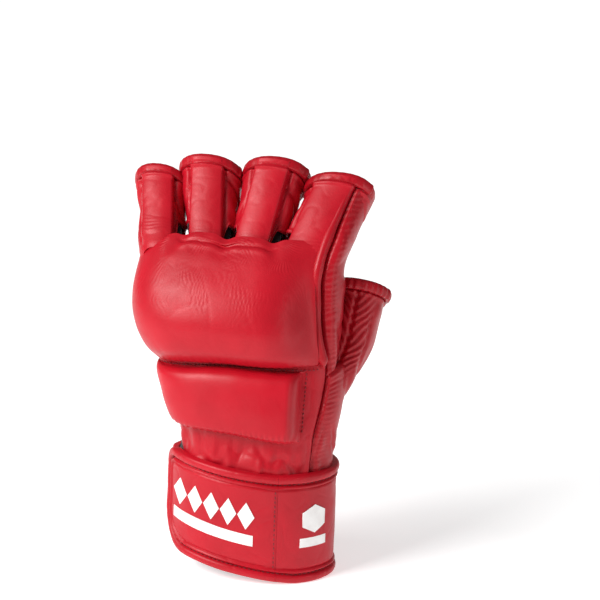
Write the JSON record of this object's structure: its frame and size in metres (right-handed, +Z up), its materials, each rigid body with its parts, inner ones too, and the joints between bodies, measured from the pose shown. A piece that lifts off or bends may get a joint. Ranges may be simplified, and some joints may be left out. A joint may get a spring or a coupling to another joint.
{
  "type": "mma glove",
  "caption": "Open-fingered grappling glove with padded knuckles, open palm and a wrap-around wrist strap, standing on its cuff.",
  "frame": {"origin": "centre of the wrist opening, in the plane that the cuff stands on", "axes": "+Z up the hand towards the fingers, -Y the back of the hand, +Y the palm, +X the thumb side"},
  "size_m": [0.149, 0.0854, 0.2172],
  "materials": {
    "red_leather": "semi-gloss fine grain",
    "red_leather_binding": "semi-gloss rolled edge",
    "black_lining": "matte smooth lining",
    "black_elastic": "ribbed elastic",
    "hook_and_loop": "fuzzy",
    "webbing": "woven",
    "closed_cell_foam": "matte foam",
    "white_print": "flat printed film"
  },
  "bodies": {
    "cuff": {"gauntlet_shell": "red_leather", "cuff_elastic": "black_elastic", "gauntlet_lining": "black_lining", "gauntlet_hem": "red_leather_binding", "loop_patch": "hook_and_loop", "strap_base_panel": "red_leather", "strap_base_backing": "webbing", "strap_base_top_edge": "red_leather_binding", "strap_base_bottom_edge": "red_leather_binding"},
    "strap_wrap": {"strap_wrap_panel": "red_leather", "strap_wrap_top_edge": "red_leather_binding", "strap_wrap_bottom_edge": "red_leather_binding", "side_print": "white_print"},
    "strap_tip": {"strap_tip_panel": "red_leather", "strap_tip_edge": "red_leather_binding", "hook_patch": "hook_and_loop", "strap_print": "white_print"},
    "hand": {"wrist_sleeve": "red_leather", "wrist_elastic": "black_elastic", "back_panel": "red_leather", "palm_panel": "red_leather", "thumb_side_panel": "red_leather", "hand_lining": "black_lining", "palm_opening_binding": "red_leather_binding", "pad_edge_welt": "red_leather_binding", "knuckle_foam": "closed_cell_foam", "knuckle_cover": "red_leather", "metacarpal_foam": "closed_cell_foam", "metacarpal_cover": "red_leather", "grip_bar": "red_leather_binding"},
    "little": {"little_lining": "black_lining", "little_mouth_binding": "red_leather_binding", "little_pad_strip": "red_leather", "little_root_gusset": "red_leather", "little_sheath": "red_leather"},
    "ring": {"ring_lining": "black_lining", "ring_mouth_binding": "red_leather_binding", "ring_pad_strip": "red_leather", "ring_root_gusset": "red_leather", "ring_sheath": "red_leather"},
    "middle": {"middle_lining": "black_lining", "middle_mouth_binding": "red_leather_binding", "middle_pad_strip": "red_leather", "middle_root_gusset": "red_leather", "middle_sheath": "red_leather"},
    "index": {"index_lining": "black_lining", "index_mouth_binding": "red_leather_binding", "index_pad_strip": "red_leather", "index_root_gusset": "red_leather", "index_sheath": "red_leather"},
    "thumb": {"thumb_lining": "black_lining", "thumb_mouth_binding": "red_leather_binding", "thumb_root_gusset": "red_leather", "thumb_sheath": "red_leather"}
  },
  "joints": [
    {"name": "wrist_flex", "type": "hinge", "parent": "cuff", "child": "hand", "pos_m": [0, 0, 0.072], "axis": [1, 0, 0], "range_deg": [-18, 18], "deforming": ["wrist_sleeve", "wrist_elastic"]},
    {"name": "strap_wrap_peel", "type": "hinge", "parent": "cuff", "child": "strap_wrap", "pos_m": [0.04666, 0.00408, 0.03], "axis": [0, 0, 1], "range_deg": [0, 100]},
    {"name": "strap_tip_peel", "type": "hinge", "parent": "strap_wrap", "child": "strap_tip", "pos_m": [0.02187, -0.0301, 0.03], "axis": [0, 0, 1], "range_deg": [0, 120]},
    {"name": "little_fold", "type": "hinge", "parent": "hand", "child": "little", "pos_m": [-0.0555, 0.014, 0.172], "axis": [-1, 0, 0], "range_deg": [-12, 40], "deforming": ["little_root_gusset"]},
    {"name": "ring_fold", "type": "hinge", "parent": "hand", "child": "ring", "pos_m": [-0.031, 0.014, 0.172], "axis": [-1, 0, 0], "range_deg": [-12, 40], "deforming": ["ring_root_gusset"]},
    {"name": "middle_fold", "type": "hinge", "parent": "hand", "child": "middle", "pos_m": [-0.0055, 0.014, 0.172], "axis": [-1, 0, 0], "range_deg": [-12, 40], "deforming": ["middle_root_gusset"]},
    {"name": "index_fold", "type": "hinge", "parent": "hand", "child": "index", "pos_m": [0.024, 0.014, 0.172], "axis": [-1, 0, 0], "range_deg": [-12, 40], "deforming": ["index_root_gusset"]},
    {"name": "thumb_fold", "type": "hinge", "parent": "hand", "child": "thumb", "pos_m": [0.044, 0.018, 0.092], "axis": [-0.894, -0.3934, 0.2142], "range_deg": [-15, 25], "deforming": ["thumb_root_gusset"]}
  ]
}
